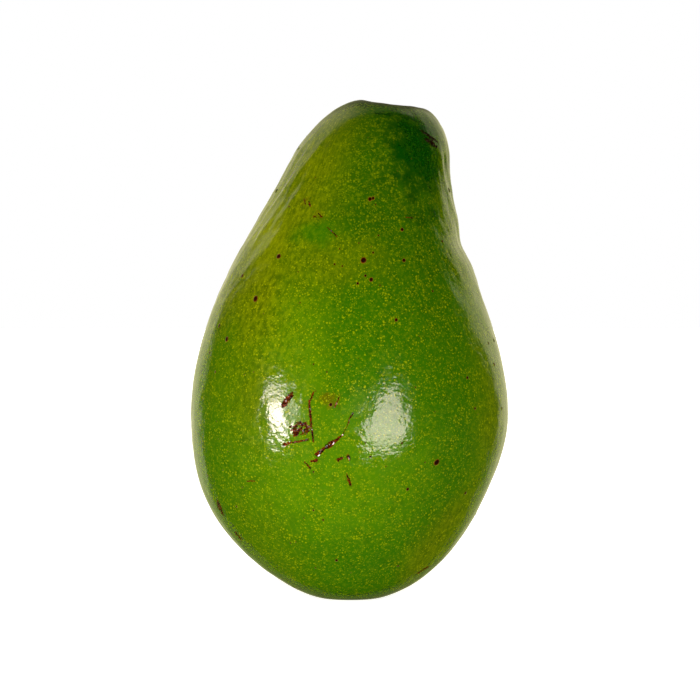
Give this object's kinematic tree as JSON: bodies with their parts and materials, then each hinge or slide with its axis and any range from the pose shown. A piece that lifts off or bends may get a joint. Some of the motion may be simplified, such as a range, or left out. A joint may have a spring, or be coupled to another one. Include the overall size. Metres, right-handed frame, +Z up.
{
  "type": "avocado",
  "caption": "Whole pear-shaped avocado with glossy green skin, a leaning neck and a small stem scar, standing on its blossom end.",
  "frame": {"origin": "middle of the small flat spot at the blossom end, on the surface that the fruit stands on, under the middle of the belly", "axes": "+Z up along the fruit, from the blossom end to the stem end; +X sideways, towards the side that the neck leans to; +Y towards the back"},
  "size_m": [0.083, 0.0791, 0.1299],
  "materials": {
    "skin": "gloss"
  },
  "bodies": {
    "root": {"avocado": "skin"}
  },
  "joints": []
}
